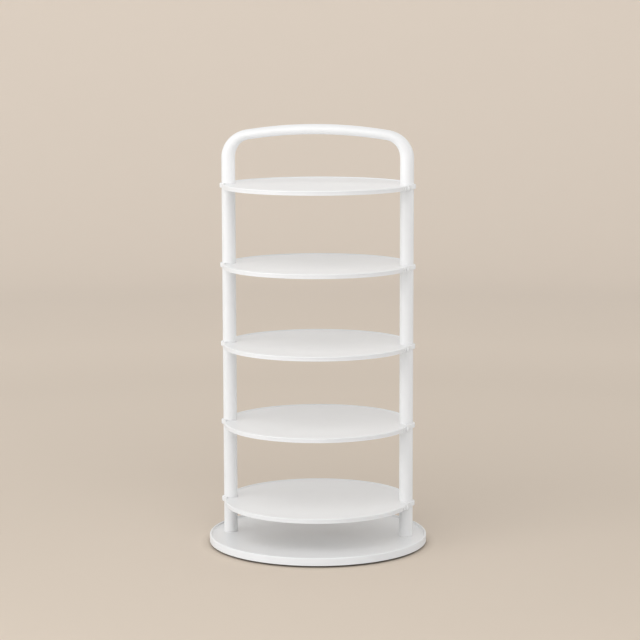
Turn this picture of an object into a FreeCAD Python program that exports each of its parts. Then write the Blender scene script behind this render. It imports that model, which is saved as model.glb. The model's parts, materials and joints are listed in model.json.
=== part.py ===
import FreeCAD, Part
import math
import os
from FreeCAD import Vector

# Rotating shoe tower: five round sheet metal trays carried between two tube posts under a
# bent bow, on a round pan that turns on a ring bearing. Millimetres, +Z up, the floor at
# z = 0, the turning axis on the Z axis, posts on +X (right) and -X (left), the front at -Y.

# ---------------------------------------------------------------- layout
tray_radius = 172.0
post_inset = 9.0            # edge of the trays to the axis of each post
pan_margin = 28.0           # edge of the trays to the edge of the pan
tray_count = 5
first_tray_top = 81.2       # floor to the top of the lowest tray's rim
tray_pitch = 145.4          # from one tray to the next
bar_space = 107.2           # top of the highest tray's rim to the top of the bar

# ---------------------------------------------------------------- foot
foot_pad_radius = 10.0
foot_pad_height = 2.8
foot_pad_edge = 0.6         # rounding of the pad's lower edge and of the barb
foot_stem_radius = 3.0      # through the plate
foot_barb_radius = 4.2      # above the plate, holds the pad
foot_barb_height = 1.6
foot_count = 6
foot_inset = 12.0           # edge of the plate to the middle of each pad
foot_plate_clearance = 5.0  # edge of the plate to the washers under the posts
foot_plate_hole = 35.0      # radius of the opening in the middle
foot_plate_thickness = 2.0

# ---------------------------------------------------------------- ring bearing
bearing_height = 7.5        # foot plate to pan
bearing_running_gap = 0.6   # between a ring and the plate or pan it isn't fixed to
race_inset = 34.0           # circle of feet to the circle through the balls
race_gap = 1.6              # between the facing walls of the two rings
ring_width = 13.2           # radial width of each ring
ball_radius = 2.5
ball_count = 24
groove_clearance = 0.05     # ball to groove
cage_thickness = 0.8
cage_edge_gap = 0.5         # cage to the plate below and to the pan above
cage_hole_clearance = 0.1   # ball to its hole in the cage
ring_fixing_count = 6       # screws in the outer ring, studs in the inner one
ring_screw_radius = 1.95
ring_screw_head_radius = 3.8
ring_screw_head_height = 2.2
ring_screw_cover = 1.7      # ring left above each blind hole
screw_tip_gap = 0.2         # screw end to the bottom of its hole
stud_end_gap = 0.9          # stud end to the foot plate
stud_nut_flats = 7.0
stud_nut_height = 3.0
stud_nut_gap = 0.3          # nut to the inner ring's lower face
nut_pocket_radius = 4.6     # counterbore in the inner ring

# ---------------------------------------------------------------- base pan
pan_thickness = 2.0
pan_floor_gap = 3.5         # floor to the lower edge of the skirt
pan_rim_height = 3.5        # pan floor to the top of the rim
pan_rim_width = 4.0
pan_rim_outer_round = 2.3
pan_rim_inner_round = 1.4
pan_bend_round = 1.5

# ---------------------------------------------------------------- tube frame
tube_radius = 12.5
tube_wall = 1.2
bar_height = 18.4           # the bar is pressed to an oval, lower than the tube is wide
corner_radius = 42.0        # centreline, post to bar
crown_radius = 800.0        # centreline of the bar
corner_sections = 9
bow_joint_depth = 3.2       # top of the highest rim to the joint of posts and bow, out of sight
sleeve_length = 56.0        # half in the post, half in the bow
sleeve_wall = 1.2
sleeve_clearance = 0.05     # sleeve to the bore of the tubes
plug_flange_height = 2.0    # between the pan and the end of the post
plug_length = 25.0          # inside the tube
plug_clearance = 0.05
post_bolt_radius = 3.95
post_bolt_reach = 20.0      # bolt above the plug's flange
post_bolt_head_radius = 7.0
post_bolt_head_height = 4.4
post_bolt_socket_flats = 5.0
post_bolt_socket_depth = 2.5
post_bolt_head_edge = 1.6
washer_radius = 12.0
washer_thickness = 1.5

# ---------------------------------------------------------------- trays
tray_sheet = 1.0
tray_rim_height = 8.5       # top of the rim to the lower edge of the skirt
tray_lip_height = 1.4       # tray floor to the top of the rim
tray_lip_width = 4.0
tray_lip_outer_round = 2.0
tray_lip_inner_round = 1.5
tray_floor_round = 0.8      # where the floor turns up to the lip
recess_half_angle = 17.7    # degrees each side of the post, where the band is the rim
notch_clearance = 0.15      # tray to post
notch_flange_depth = 5.0    # top of the rim to the lower edge of the notch's flange
support_pin_radius = 1.5
support_pin_clearance = 0.05
support_pin_reach = 4.5     # pin past the inner side of the tube
support_pin_setback = 0.1   # pin end inside the outer side of the tube

# ---------------------------------------------------------------- clamp bands
band_thickness = 3.4
band_seat_clearance = 0.15  # band to the tray's recessed skirt
band_post_clearance = 0.2   # band to post
band_blend_radius = 18.0    # hollow between the rim and the nose round the post
band_slit = 1.6             # open slit at the screw's end
band_butt_gap = 0.2         # joint at the hook's end
band_outer_round = 1.5      # upper and lower outer edges
hook_angle = 14.5           # degrees from the post
hook_width = 6.0
hook_stem_height = 2.0
hook_leg_thickness = 1.2
hook_leg_drop = 2.2         # leg below the stem
hook_level = 3.5            # top of the rim to the top of the hook
hook_slot_clearance = 0.3
hook_leg_gap = 0.25         # leg to the back of the skirt
knob_angle = -13.0          # degrees from the post
knob_level = 5.4            # top of the rim to the screw's axis
knob_head_radius = 5.2
knob_edge_height = 0.8
knob_dome_height = 2.9
knob_socket_flats = 2.5
knob_socket_depth = 1.8
knob_screw_radius = 1.5
knob_screw_end = 0.5        # thread past the nut
band_nut_flats = 5.5
band_nut_height = 2.4
band_nut_gap = 0.05         # flat nut to the round inside of the skirt

thread_clearance = 0.05     # screw, bolt or stud to its thread
hole_clearance = 0.2        # screw, bolt or stud to a plain hole
edge_share = 0.4            # rounding of a cut sheet edge, as a share of its thickness
overrun = 1.0               # how far a cutting shape runs past what it cuts

# ---------------------------------------------------------------- what follows from these
upright = Vector(0, 0, 1)
tray_tops = [first_tray_top + tray_pitch * number for number in range(tray_count)]
post_offset = tray_radius - post_inset
pan_radius = tray_radius + pan_margin
foot_plate_radius = post_offset - washer_radius - foot_plate_clearance
foot_circle = foot_plate_radius - foot_inset
race_radius = foot_circle - race_inset
plate_top = foot_pad_height + foot_plate_thickness
pan_underside = plate_top + bearing_height
pan_floor = pan_underside + pan_thickness
pan_rim_top = pan_floor + pan_rim_height
post_end = pan_floor + plug_flange_height
race_level = plate_top + bearing_height / 2
outer_ring_bore = race_radius + race_gap / 2
inner_ring_outside = race_radius - race_gap / 2
outer_ring_top = pan_underside - bearing_running_gap
inner_ring_bottom = plate_top + bearing_running_gap
outer_screw_circle = outer_ring_bore + ring_width / 2
inner_stud_circle = inner_ring_outside - ring_width / 2
ring_thread_top = outer_ring_top - ring_screw_cover
nut_seat = inner_ring_bottom + stud_nut_gap + stud_nut_height
tube_bore = tube_radius - tube_wall
bar_half_height = bar_height / 2
bar_half_depth = math.sqrt(2 * tube_radius ** 2 - bar_half_height ** 2)
bar_level = tray_tops[-1] + bar_space - bar_half_height
bow_joint = tray_tops[-1] - bow_joint_depth
bend_x = post_offset - corner_radius
crown_level = bar_level - crown_radius
bend_tilt = math.asin(bend_x / (crown_radius - corner_radius))
bend_level = crown_level + (crown_radius - corner_radius) * math.cos(bend_tilt)
recess_radius = tray_radius - band_thickness - band_seat_clearance
notch_radius = tube_radius + notch_clearance
band_inside = tray_radius - band_thickness
band_post_radius = tube_radius + band_post_clearance
nose_radius = band_post_radius + band_thickness
tray_floor = -tray_lip_height       # from the top of the rim, as are the next three
tray_underside = tray_floor - tray_sheet
skirt_end = -tray_rim_height
pin_level = -notch_flange_depth - support_pin_radius
tray_edge = tray_sheet * edge_share
floor_disc_radius = post_offset - tube_radius
sides = {"right": 0.0, "left": 180.0}


# ---------------------------------------------------------------- shape helpers
def upright_point(radius, height):
    """Point of an upright section, radius along X."""
    return Vector(radius, 0, height)


def rounded_face(corners, place=upright_point):
    """Plane face inside (u, v, rounding) corners, each corner an arc of its rounding."""
    starts = []
    middles = []
    ends = []
    for index, (u, v, rounding) in enumerate(corners):
        here = Vector(u, v, 0)
        before = Vector(*corners[index - 1][:2], 0) - here
        after = Vector(*corners[(index + 1) % len(corners)][:2], 0) - here
        before.normalize()
        after.normalize()
        half = before.getAngle(after) / 2
        inward = (before + after) * (0.5 / math.cos(half))
        starts.append(here + before * (rounding / math.tan(half)))
        middles.append(here + inward * (rounding / math.sin(half) - rounding))
        ends.append(here + after * (rounding / math.tan(half)))
    edges = []
    for index, corner in enumerate(corners):
        following = (index + 1) % len(corners)
        if corner[2] > 0:
            bend = [place(p.x, p.y) for p in (starts[index], middles[index], ends[index])]
            edges.append(Part.Arc(*bend).toShape())
        edges.append(Part.LineSegment(place(ends[index].x, ends[index].y),
                                      place(starts[following].x, starts[following].y)).toShape())
    return Part.Face(Part.Wire(edges))


def turned(corners, start=0.0, sweep=360.0):
    """Upright section of (radius, height, rounding) corners turned about the Z axis."""
    face = rounded_face(corners).rotated(Vector(), upright, start)
    return face.revolve(Vector(), upright, sweep)


def ring_between(inner, outer, low, high):
    """Plain ring with a square section."""
    return turned([(inner, low, 0), (outer, low, 0), (outer, high, 0), (inner, high, 0)])


def rod(radius, low, high, x=0.0):
    """Upright cylinder on the XZ plane."""
    return Part.makeCylinder(radius, high - low, Vector(x, 0, low))


def radial_rod(radius, inner, outer, level):
    """Cylinder along +X between two distances from the Z axis."""
    return Part.makeCylinder(radius, outer - inner, Vector(inner, 0, level), Vector(1, 0, 0))


def radial_block(inner, outer, width, low, high):
    """Block along +X, centred on the XZ plane."""
    return Part.makeBox(outer - inner, width, high - low, Vector(inner, -width / 2, low))


def hex_prism(flats, low, high, x=0.0):
    """Upright hexagonal prism with two corners on the XZ plane."""
    corner = flats / 2 / math.cos(math.pi / 6)
    angles = [math.radians(60 * number) for number in range(7)]
    points = [Vector(x + corner * math.cos(a), corner * math.sin(a), low) for a in angles]
    return Part.Face(Part.makePolygon(points)).extrude(upright * (high - low))


def laid_out(shape, x, level):
    """Copy of an upright shape laid along +X, its base at x and its axis at the level."""
    laid = shape.rotated(Vector(), Vector(0, 1, 0), 90)
    return laid.translated(Vector(x, 0, level))


def about_axis(shape, angle):
    """Copy turned about the Z axis."""
    return shape.rotated(Vector(), upright, angle)


def ring_of(shape, count):
    """Evenly spaced copies round the Z axis."""
    return [about_axis(shape, 360.0 / count * number) for number in range(count)]


def at_posts(shape):
    """The shape at the right post, and its copy at the left one."""
    return [about_axis(shape, angle) for angle in sides.values()]


def at_trays(shape):
    """Copies of a shape that is drawn with the top of the tray's rim at z = 0."""
    return [shape.translated(upright * top) for top in tray_tops]


def save(name, *shapes):
    """Write one node, of one solid or of several alike."""
    whole = shapes[0] if len(shapes) == 1 else Part.makeCompound(list(shapes))
    whole.exportStep("parts/" + name + ".step")
    print(name, len(whole.Solids), "solids,", round(whole.Volume), "mm3, valid:", whole.isValid())


# ---------------------------------------------------------------- foot
def make_foot_plate():
    plate = ring_between(foot_plate_hole, foot_plate_radius, foot_pad_height, plate_top)
    stem_hole = rod(foot_stem_radius + thread_clearance, 0, plate_top + overrun, foot_circle)
    screw_hole = rod(ring_screw_radius + hole_clearance, 0, plate_top + overrun, outer_screw_circle)
    return plate.cut(ring_of(stem_hole, foot_count) + ring_of(screw_hole, ring_fixing_count))


def make_rubber_foot():
    barb_top = plate_top + foot_barb_height
    foot = turned([
        (0, 0, 0),
        (foot_pad_radius, 0, foot_pad_edge),
        (foot_pad_radius, foot_pad_height, 0),
        (foot_stem_radius, foot_pad_height, 0),
        (foot_stem_radius, plate_top, 0),
        (foot_barb_radius, plate_top, 0),
        (foot_barb_radius, barb_top, foot_pad_edge),
        (0, barb_top, 0),
    ])
    return foot.translated(Vector(foot_circle, 0, 0))


# ---------------------------------------------------------------- ring bearing
def make_race_groove():
    return Part.makeTorus(race_radius, ball_radius + groove_clearance, upright * race_level)


def make_outer_ring():
    ring = ring_between(outer_ring_bore, outer_ring_bore + ring_width, plate_top, outer_ring_top)
    thread = rod(ring_screw_radius + thread_clearance, 0, ring_thread_top, outer_screw_circle)
    return ring.cut([make_race_groove()] + ring_of(thread, ring_fixing_count))


def make_inner_ring():
    ring = ring_between(inner_ring_outside - ring_width, inner_ring_outside,
                        inner_ring_bottom, pan_underside)
    hole = rod(ring_screw_radius + hole_clearance, 0, pan_underside + overrun, inner_stud_circle)
    pocket = rod(nut_pocket_radius, 0, nut_seat, inner_stud_circle)
    return ring.cut([make_race_groove()] + ring_of(hole.fuse(pocket), ring_fixing_count))


def make_ball():
    return Part.makeSphere(ball_radius, Vector(race_radius, 0, race_level))


def make_ball_cage():
    strip = ring_between(race_radius - cage_thickness / 2, race_radius + cage_thickness / 2,
                         plate_top + cage_edge_gap, pan_underside - cage_edge_gap)
    hole = radial_rod(ball_radius + cage_hole_clearance, race_radius - race_gap,
                      race_radius + race_gap, race_level)
    return strip.cut(ring_of(hole, ball_count))


def make_ring_screw():
    head = rod(ring_screw_head_radius, foot_pad_height - ring_screw_head_height, foot_pad_height,
               outer_screw_circle)
    shank = rod(ring_screw_radius, foot_pad_height, ring_thread_top - screw_tip_gap,
                outer_screw_circle)
    return head.fuse(shank)


def make_pan_stud():
    return rod(ring_screw_radius, plate_top + stud_end_gap, pan_underside, inner_stud_circle)


def make_stud_nut():
    low = nut_seat - stud_nut_height
    thread = rod(ring_screw_radius + thread_clearance, 0, nut_seat + overrun, inner_stud_circle)
    return hex_prism(stud_nut_flats, low, nut_seat, inner_stud_circle).cut(thread)


# ---------------------------------------------------------------- base pan
def make_base_pan():
    skirt_inside = pan_radius - pan_thickness
    rim_inside = pan_radius - pan_rim_width
    edge = pan_thickness * edge_share
    pan = turned([
        (0, pan_underside, 0),
        (skirt_inside, pan_underside, pan_bend_round),
        (skirt_inside, pan_floor_gap, edge),
        (pan_radius, pan_floor_gap, edge),
        (pan_radius, pan_rim_top, pan_rim_outer_round),
        (rim_inside, pan_rim_top, pan_rim_inner_round),
        (rim_inside, pan_floor, pan_bend_round),
        (0, pan_floor, 0),
    ])
    bolt_hole = rod(post_bolt_radius + hole_clearance, 0, pan_floor + overrun, post_offset)
    return pan.cut(at_posts(bolt_hole))


# ---------------------------------------------------------------- tube frame
def tube_section(angle, wall):
    """Oval outline in the plane that the bend's angle sets: round at the post, low at the bar."""
    share = angle / (math.pi / 2 - bend_tilt)
    ease = share * share * (3 - 2 * share)
    tall = tube_radius + (bar_half_height - tube_radius) * ease - wall
    deep = tube_radius + (bar_half_depth - tube_radius) * ease - wall
    outward = Vector(math.cos(angle), 0, math.sin(angle))
    centre = Vector(bend_x, 0, bend_level) + outward * corner_radius
    if share == 0:
        oval = Part.Circle(Vector(), upright, tall)
    else:
        oval = Part.Ellipse(Vector(), deep, tall)
    turn = FreeCAD.Rotation(Vector(0, 1, 0), outward, Vector(0, 1, 0).cross(outward), "XYZ")
    edge = oval.toShape()
    edge.Placement = FreeCAD.Placement(centre, turn)
    return Part.Wire(edge)


def bow_solid(low, wall):
    """Legs, corners and bar as one solid, each wall less than the tube's outside."""
    bend_sweep = math.pi / 2 - bend_tilt
    steps = range(corner_sections)
    sections = [tube_section(bend_sweep * step / (corner_sections - 1), wall) for step in steps]
    corner = Part.makeLoft(sections, True, False)
    leg = rod(tube_radius - wall, low, bend_level, post_offset)
    half = leg.fuse(corner)
    bar = Part.Face(sections[-1]).revolve(upright * crown_level, Vector(0, 1, 0),
                                          -2 * math.degrees(bend_tilt))
    return half.fuse([bar, half.mirror(Vector(), Vector(1, 0, 0))])


def make_top_bow():
    return bow_solid(bow_joint, 0).cut(bow_solid(bow_joint - overrun, tube_wall))


def make_pin_holes():
    hole = radial_rod(support_pin_radius + support_pin_clearance,
                      post_offset - tube_radius - overrun,
                      post_offset + tube_radius + overrun, pin_level)
    return at_trays(hole)


def make_post():
    post = rod(tube_radius, post_end, bow_joint, post_offset)
    bore = rod(tube_bore, post_end - overrun, bow_joint + overrun, post_offset)
    return post.cut([bore] + make_pin_holes())


def make_bow_sleeve():
    low = bow_joint - sleeve_length / 2
    high = bow_joint + sleeve_length / 2
    outside = tube_bore - sleeve_clearance
    sleeve = rod(outside, low, high, post_offset)
    bore = rod(outside - sleeve_wall, low - overrun, high + overrun, post_offset)
    return sleeve.cut([bore] + make_pin_holes())


def make_post_plug():
    thread_top = post_end + post_bolt_reach
    plug = turned([
        (0, pan_floor, 0),
        (tube_radius, pan_floor, 0),
        (tube_radius, post_end, 0),
        (tube_bore - plug_clearance, post_end, 0),
        (tube_bore - plug_clearance, post_end + plug_length, 0),
        (0, post_end + plug_length, 0),
    ]).translated(Vector(post_offset, 0, 0))
    return plug.cut(rod(post_bolt_radius + thread_clearance, 0, thread_top, post_offset))


def make_washer():
    washer = rod(washer_radius, pan_underside - washer_thickness, pan_underside, post_offset)
    return washer.cut(rod(post_bolt_radius + hole_clearance, 0, pan_underside + overrun, post_offset))


def make_post_bolt():
    head_top = pan_underside - washer_thickness
    head_low = head_top - post_bolt_head_height
    bolt = turned([
        (0, head_low, 0),
        (post_bolt_head_radius, head_low, post_bolt_head_edge),
        (post_bolt_head_radius, head_top, 0),
        (post_bolt_radius, head_top, 0),
        (post_bolt_radius, post_end + post_bolt_reach - screw_tip_gap, 0),
        (0, post_end + post_bolt_reach - screw_tip_gap, 0),
    ]).translated(Vector(post_offset, 0, 0))
    socket_top = head_low + post_bolt_socket_depth
    return bolt.cut(hex_prism(post_bolt_socket_flats, head_low - overrun, socket_top, post_offset))


# ---------------------------------------------------------------- trays, top of the rim at z = 0
def full_rim(start, sweep):
    """Floor, raised lip and skirt, over part of the circle."""
    lip_start = tray_radius - tray_lip_width
    bend_start = lip_start - tray_lip_height
    skirt_inside = tray_radius - tray_sheet
    under_shift = tray_sheet * math.tan(math.pi / 8)
    return turned([
        (floor_disc_radius, tray_underside, 0),
        (bend_start + under_shift, tray_underside, tray_floor_round + tray_sheet),
        (lip_start + under_shift, -tray_sheet, tray_lip_inner_round - tray_sheet),
        (skirt_inside, -tray_sheet, tray_lip_outer_round - tray_sheet),
        (skirt_inside, skirt_end, tray_edge),
        (tray_radius, skirt_end, tray_edge),
        (tray_radius, 0, tray_lip_outer_round),
        (lip_start, 0, tray_lip_inner_round),
        (bend_start, tray_floor, tray_floor_round),
        (floor_disc_radius, tray_floor, 0),
    ], start, sweep)


def recessed_rim(start, sweep):
    """Floor and skirt set in by the band's thickness, over part of the circle."""
    skirt_inside = recess_radius - tray_sheet
    return turned([
        (floor_disc_radius, tray_underside, 0),
        (skirt_inside, tray_underside, 0),
        (skirt_inside, skirt_end, tray_edge),
        (recess_radius, skirt_end, tray_edge),
        (recess_radius, tray_floor, tray_edge),
        (floor_disc_radius, tray_floor, 0),
    ], start, sweep)


def rim_end(start, sweep):
    """Web that closes the hollow rim where the recess begins."""
    skirt_inside = recess_radius - tray_sheet
    lip_start = tray_radius - tray_lip_width
    bend_start = lip_start - tray_lip_height
    return turned([
        (bend_start, tray_underside, 0),
        (skirt_inside, tray_underside, 0),
        (skirt_inside, skirt_end, tray_edge),
        (tray_radius, skirt_end, tray_edge),
        (tray_radius, 0, tray_lip_outer_round),
        (lip_start, 0, tray_lip_inner_round),
        (bend_start, tray_floor, 0),
    ], start, sweep)


def notch_block(half_width, low, high):
    """Slot round the post, open outward."""
    block = radial_block(post_offset, tray_radius + overrun, 2 * half_width, low, high)
    return block.fuse(rod(half_width, low, high, post_offset))


def knob_hole():
    return radial_rod(knob_screw_radius + hole_clearance, floor_disc_radius,
                      tray_radius + overrun, -knob_level)


def make_tray():
    full_sweep = 180 - 2 * recess_half_angle
    web_sweep = math.degrees(tray_sheet / tray_radius)
    floor = rod(floor_disc_radius, tray_underside, tray_floor)
    rims = at_posts(full_rim(recess_half_angle, full_sweep))
    rims += at_posts(recessed_rim(-recess_half_angle, 2 * recess_half_angle))
    rims += at_posts(rim_end(recess_half_angle, web_sweep))
    rims += at_posts(rim_end(-recess_half_angle - web_sweep, web_sweep))
    flange = notch_block(notch_radius + tray_sheet, -notch_flange_depth, tray_floor)
    flange = flange.common(rod(recess_radius, -notch_flange_depth, tray_floor))
    tray = floor.fuse(rims + at_posts(flange))
    slot = radial_block(floor_disc_radius, recess_radius + overrun,
                        hook_width + 2 * hook_slot_clearance,
                        -hook_level - hook_stem_height - hook_slot_clearance,
                        -hook_level + hook_slot_clearance)
    tray = tray.cut(at_posts(notch_block(notch_radius, skirt_end - overrun, overrun)))
    tray = tray.cut(at_posts(about_axis(knob_hole(), knob_angle)))
    tray = tray.cut(at_posts(about_axis(slot, hook_angle)))
    return tray.removeSplitter()


def make_support_pin():
    return radial_rod(support_pin_radius, post_offset - tube_radius - support_pin_reach,
                      post_offset + tube_radius - support_pin_setback, pin_level)


# ---------------------------------------------------------------- clamp bands, at the right post
def plan_arc(centre_x, centre_y, radius, start, end):
    """Arc in plan between two angles in radians."""
    middle = (start + end) / 2
    points = [Vector(centre_x + radius * math.cos(a), centre_y + radius * math.sin(a), 0)
              for a in (start, middle, end)]
    return Part.Arc(*points).toShape()


def band_outline():
    """Plan of the band: the rim's circle, bulging round the post."""
    low_end = -math.radians(recess_half_angle) + band_slit / tray_radius
    high_end = math.radians(recess_half_angle) - band_butt_gap / tray_radius
    to_blend = tray_radius + band_blend_radius
    nose_to_blend = nose_radius + band_blend_radius
    blend_x = (to_blend ** 2 - nose_to_blend ** 2 + post_offset ** 2) / (2 * post_offset)
    blend_y = math.sqrt(to_blend ** 2 - blend_x ** 2)
    rim_turn = math.atan2(blend_y, blend_x)
    nose_turn = math.atan2(blend_y, blend_x - post_offset)
    hollow_from = math.pi + rim_turn
    hollow_to = math.pi + nose_turn
    inner_x = (band_inside ** 2 - band_post_radius ** 2 + post_offset ** 2) / (2 * post_offset)
    inner_y = math.sqrt(band_inside ** 2 - inner_x ** 2)
    inner_turn = math.atan2(inner_y, inner_x)
    seat_turn = math.atan2(inner_y, inner_x - post_offset)
    edges = [
        plan_arc(0, 0, tray_radius, low_end, -rim_turn),
        plan_arc(blend_x, -blend_y, band_blend_radius, -hollow_from, -hollow_to),
        plan_arc(post_offset, 0, nose_radius, -nose_turn, nose_turn),
        plan_arc(blend_x, blend_y, band_blend_radius, hollow_to, hollow_from),
        plan_arc(0, 0, tray_radius, rim_turn, high_end),
        plan_arc(0, 0, band_inside, high_end, inner_turn),
        plan_arc(post_offset, 0, band_post_radius, seat_turn, -seat_turn),
        plan_arc(0, 0, band_inside, -inner_turn, low_end),
    ]
    ends = []
    for angle in (low_end, high_end):
        direction = Vector(math.cos(angle), math.sin(angle), 0)
        ends.append(Part.LineSegment(direction * band_inside, direction * tray_radius).toShape())
    return Part.Face(Part.Wire(Part.__sortEdges__(edges + ends)))


def on_outer_outline(edge):
    """True for a level edge of the band's outer outline."""
    if not isinstance(edge.Curve, Part.Circle):
        return False
    middle = edge.valueAt((edge.FirstParameter + edge.LastParameter) / 2)
    from_axis = math.hypot(middle.x, middle.y)
    from_post = math.hypot(middle.x - post_offset, middle.y)
    return min(from_axis - band_inside, from_post - band_post_radius) > band_thickness / 2


def make_hook():
    """Tongue that passes through the tray's slot and hangs behind the skirt."""
    leg_outside = recess_radius - tray_sheet - hook_leg_gap
    leg_inside = leg_outside - hook_leg_thickness
    stem_low = -hook_level - hook_stem_height
    stem = radial_block(leg_inside, band_inside + band_thickness / 2, hook_width,
                        stem_low, -hook_level)
    leg = radial_block(leg_inside, leg_outside, hook_width, stem_low - hook_leg_drop, -hook_level)
    return about_axis(stem.fuse(leg), hook_angle)


def make_band():
    band = band_outline().extrude(upright * skirt_end)
    outer_edges = [edge for edge in band.Edges if on_outer_outline(edge)]
    band = band.makeFillet(band_outer_round, outer_edges)
    band = band.fuse(make_hook()).cut(about_axis(knob_hole(), knob_angle))
    return band.removeSplitter()


def make_knob():
    """Domed head on the outside of the band, with its thread running inwards."""
    top = knob_edge_height + knob_dome_height
    sphere = (knob_head_radius ** 2 + knob_dome_height ** 2) / (2 * knob_dome_height)
    dome = Part.makeSphere(sphere, upright * (top - sphere))
    head = rod(knob_head_radius, 0, top).common(dome)
    grip = tray_radius - recess_radius + tray_sheet + band_nut_gap
    thread = rod(knob_screw_radius, -grip - band_nut_height - knob_screw_end, knob_edge_height)
    socket = hex_prism(knob_socket_flats, top - knob_socket_depth, top + overrun)
    knob = head.fuse(thread).cut(socket)
    return about_axis(laid_out(knob, tray_radius, -knob_level), knob_angle)


def make_band_nut():
    thread = rod(knob_screw_radius + thread_clearance, -overrun, band_nut_height + overrun)
    nut = about_axis(hex_prism(band_nut_flats, 0, band_nut_height), 90).cut(thread)
    start = recess_radius - tray_sheet - band_nut_gap - band_nut_height
    return about_axis(laid_out(nut, start, -knob_level), knob_angle)


def save_at_posts_and_trays(name, shape):
    """One node with a copy at each post of each tray."""
    save(name, *[copy for tray_copy in at_trays(shape) for copy in at_posts(tray_copy)])


# ---------------------------------------------------------------- all nodes
os.makedirs("parts", exist_ok=True)

save("foot_plate", make_foot_plate())
save("rubber_feet", *ring_of(make_rubber_foot(), foot_count))
save("bearing_outer_ring", make_outer_ring())
save("outer_ring_screws", *ring_of(make_ring_screw(), ring_fixing_count))
save("ball_cage", make_ball_cage())
save("bearing_balls", *ring_of(make_ball(), ball_count))
save("bearing_inner_ring", make_inner_ring())
save("pan_studs", *ring_of(make_pan_stud(), ring_fixing_count))
save("stud_nuts", *ring_of(make_stud_nut(), ring_fixing_count))
save("base_pan", make_base_pan())
for side, post in zip(sides, at_posts(make_post())):
    save("post_" + side, post)
for side, plug in zip(sides, at_posts(make_post_plug())):
    save("post_plug_" + side, plug)
save("top_bow", make_top_bow())
save("bow_sleeves", *at_posts(make_bow_sleeve()))
save("post_bolts", *at_posts(make_post_bolt()))
save("post_washers", *at_posts(make_washer()))
trays = at_trays(make_tray())
bands = at_trays(make_band())
for number, (tray, band) in enumerate(zip(trays, bands), start=1):
    save("tray_" + str(number), tray)
    for side, clamp in zip(sides, at_posts(band)):
        save("band_" + str(number) + "_" + side, clamp)
save_at_posts_and_trays("band_knobs", make_knob())
save_at_posts_and_trays("band_nuts", make_band_nut())
save_at_posts_and_trays("support_pins", make_support_pin())
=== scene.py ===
import json
import math
import bmesh
import bpy
import numpy as np
from mathutils import Matrix, Vector


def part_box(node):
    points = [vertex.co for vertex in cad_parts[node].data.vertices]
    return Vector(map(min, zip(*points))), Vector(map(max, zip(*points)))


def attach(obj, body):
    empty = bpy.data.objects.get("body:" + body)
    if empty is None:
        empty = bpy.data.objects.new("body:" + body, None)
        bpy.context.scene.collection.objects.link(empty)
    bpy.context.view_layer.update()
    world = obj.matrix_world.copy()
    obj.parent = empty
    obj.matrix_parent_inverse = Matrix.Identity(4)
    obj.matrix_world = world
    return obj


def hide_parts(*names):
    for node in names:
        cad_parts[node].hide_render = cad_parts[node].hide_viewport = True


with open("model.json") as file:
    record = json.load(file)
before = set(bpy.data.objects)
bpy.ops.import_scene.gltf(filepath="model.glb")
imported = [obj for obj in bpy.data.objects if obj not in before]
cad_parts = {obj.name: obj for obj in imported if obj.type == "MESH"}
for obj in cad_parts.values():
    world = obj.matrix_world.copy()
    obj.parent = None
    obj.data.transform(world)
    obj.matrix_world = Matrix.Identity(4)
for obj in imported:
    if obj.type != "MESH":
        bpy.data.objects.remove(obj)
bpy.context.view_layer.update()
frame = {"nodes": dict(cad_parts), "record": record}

millimetre = 0.001
print("frame:", len(frame["nodes"]), "nodes")


# The camera stands in front and a little to the right, and looks slightly down.
camera = {
    "turn": 7.3,         # degrees round the tower from straight in front
    "distance": 3.8875,  # metres on the level to the turning axis
    "aside": 0.0045,     # metres to the right of the axis
    "height": 0.9608,
    "pitch": 8.02,       # degrees down
    "roll": 0.115,       # degrees
    "lens": 120.92,      # millimetres
    "sensor": 36.0,
    "near": 0.1,         # metres
    "far": 50,
}


def placeCamera():
    # Its axes follow from the turn and the pitch, and are then rolled about the line of sight.
    data = bpy.data.cameras.new("camera")
    data.lens = camera["lens"]
    data.sensor_width = camera["sensor"]
    data.clip_start = camera["near"]
    data.clip_end = camera["far"]
    turn, pitch, roll = (math.radians(camera[name]) for name in ("turn", "pitch", "roll"))
    level = Vector((-math.sin(turn), math.cos(turn), 0))      # along the view, on the level
    right = Vector((math.cos(turn), math.sin(turn), 0))
    ahead = level * math.cos(pitch) - Vector((0, 0, math.sin(pitch)))
    up = right.cross(ahead)
    rolledRight = right * math.cos(roll) - up * math.sin(roll)
    rolledUp = up * math.cos(roll) + right * math.sin(roll)
    place = right * camera["aside"] - level * camera["distance"]
    place.z = camera["height"]
    axes = Matrix((rolledRight, rolledUp, -ahead)).transposed()
    holder = bpy.data.objects.new("camera", data)
    holder.matrix_world = Matrix.Translation(place) @ axes.to_4x4()
    bpy.context.scene.collection.objects.link(holder)
    bpy.context.scene.camera = holder


placeCamera()
print("camera placed")


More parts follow.
